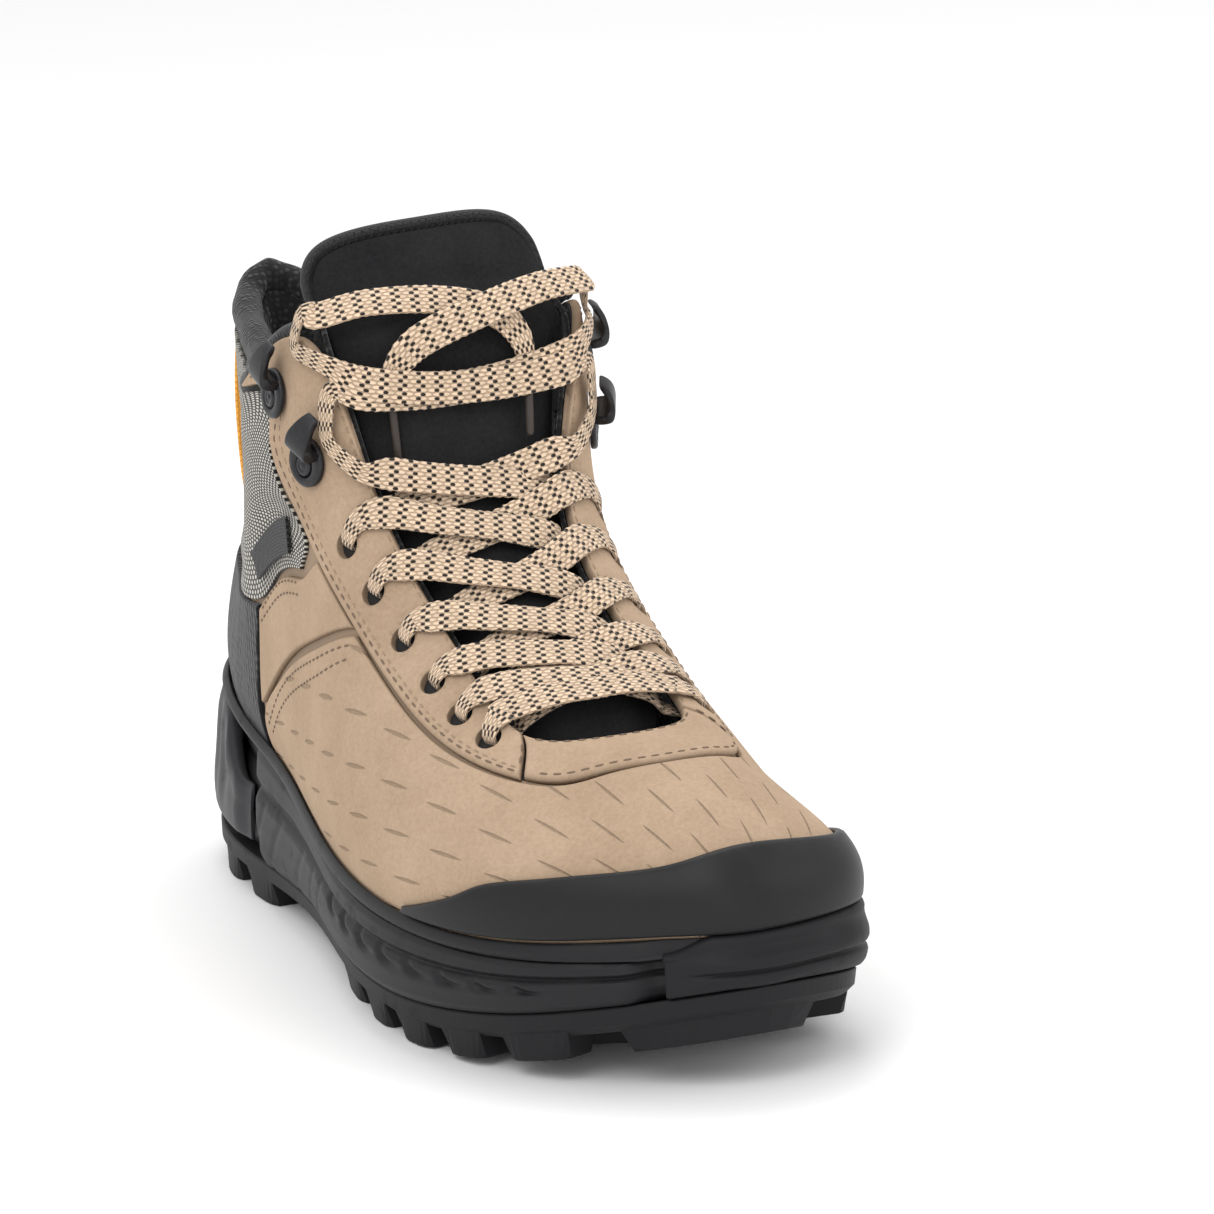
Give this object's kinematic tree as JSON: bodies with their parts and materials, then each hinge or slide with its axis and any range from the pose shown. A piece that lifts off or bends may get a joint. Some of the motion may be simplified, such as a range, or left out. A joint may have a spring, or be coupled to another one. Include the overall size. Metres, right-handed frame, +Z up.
{
  "type": "hiking boot",
  "caption": "Mid-height right hiking boot: lugged rubber sole, suede and woven upper, rubber toe cap, padded collar and tongue, hook and eyelet lacing, heel pull loop.",
  "frame": {"origin": "bottom centre of the boot's bounding box, on the ground plane under the tread", "axes": "+Z up, toe towards -Y, heel towards +Y, outer (lateral) side at -X, inner (medial) side at +X"},
  "size_m": [0.1096, 0.3022, 0.1908],
  "materials": {
    "tread_rubber": "moulded, satin",
    "midsole_foam": "moulded foam, satin",
    "stabiliser": "moulded, satin",
    "cap_rubber": "smooth, satin",
    "tan_suede": "napped suede",
    "black_suede": "napped suede",
    "black_textile": "woven",
    "side_weave": "dotted weave",
    "lining": "knitted",
    "foam": "open foam",
    "board": "pressed board",
    "stiffener": "moulded sheet",
    "shank_steel": "rolled",
    "hook_metal": "matte black coating",
    "rivet_metal": "satin black coating",
    "lace_weave": "plaited with dark flecks",
    "aglet": "satin",
    "loop_orange": "smooth webbing",
    "label": "woven tab"
  },
  "bodies": {
    "boot_shell": {"outsole": "tread_rubber", "toe_bumper": "tread_rubber", "midsole": "midsole_foam", "rim_band": "midsole_foam", "heel_stabiliser": "stabiliser", "shank": "shank_steel", "lasting_board": "board", "bootie_lining": "lining", "toe_puff": "stiffener", "heel_counter": "stiffener", "vamp": "tan_suede", "quarter_lateral": "tan_suede", "quarter_medial": "tan_suede", "side_weave_lateral": "side_weave", "side_weave_medial": "side_weave", "facing_lateral": "tan_suede", "facing_medial": "tan_suede", "facing_backing_lateral": "black_textile", "facing_backing_medial": "black_textile", "throat_tab": "tan_suede", "heel_panel": "black_textile", "backstay": "black_textile", "toe_cap": "cap_rubber", "collar_foam": "foam", "collar_lining": "black_textile", "collar_roll": "black_textile", "gusset_lateral": "black_textile", "gusset_medial": "black_textile", "hook_lateral_lower": "hook_metal", "rivet_lateral_lower": "rivet_metal", "hook_lateral_upper": "hook_metal", "rivet_lateral_upper": "rivet_metal", "hook_medial_lower": "hook_metal", "rivet_medial_lower": "rivet_metal", "hook_medial_upper": "hook_metal", "rivet_medial_upper": "rivet_metal", "lace": "lace_weave", "aglet_medial": "aglet", "aglet_lateral": "aglet", "pull_loop": "loop_orange", "side_label": "label"},
    "tongue": {"tongue_face": "black_suede", "tongue_foam": "foam", "tongue_lining": "black_textile", "tongue_binding": "black_textile"},
    "footbed": {"footbed_foam": "foam", "footbed_cover": "black_textile"}
  },
  "joints": [
    {"name": "tongue_swing", "type": "hinge", "parent": "boot_shell", "child": "tongue", "pos_m": [0, -0.1039, 0.058], "axis": [-1, 0, 0], "range_deg": [0, 7], "stiffness_Nm_per_rad": 8},
    {"name": "footbed_lift", "type": "hinge", "parent": "boot_shell", "child": "footbed", "pos_m": [0, -0.1329, 0.0335], "axis": [1, 0, 0], "range_deg": [0, 3]}
  ]
}
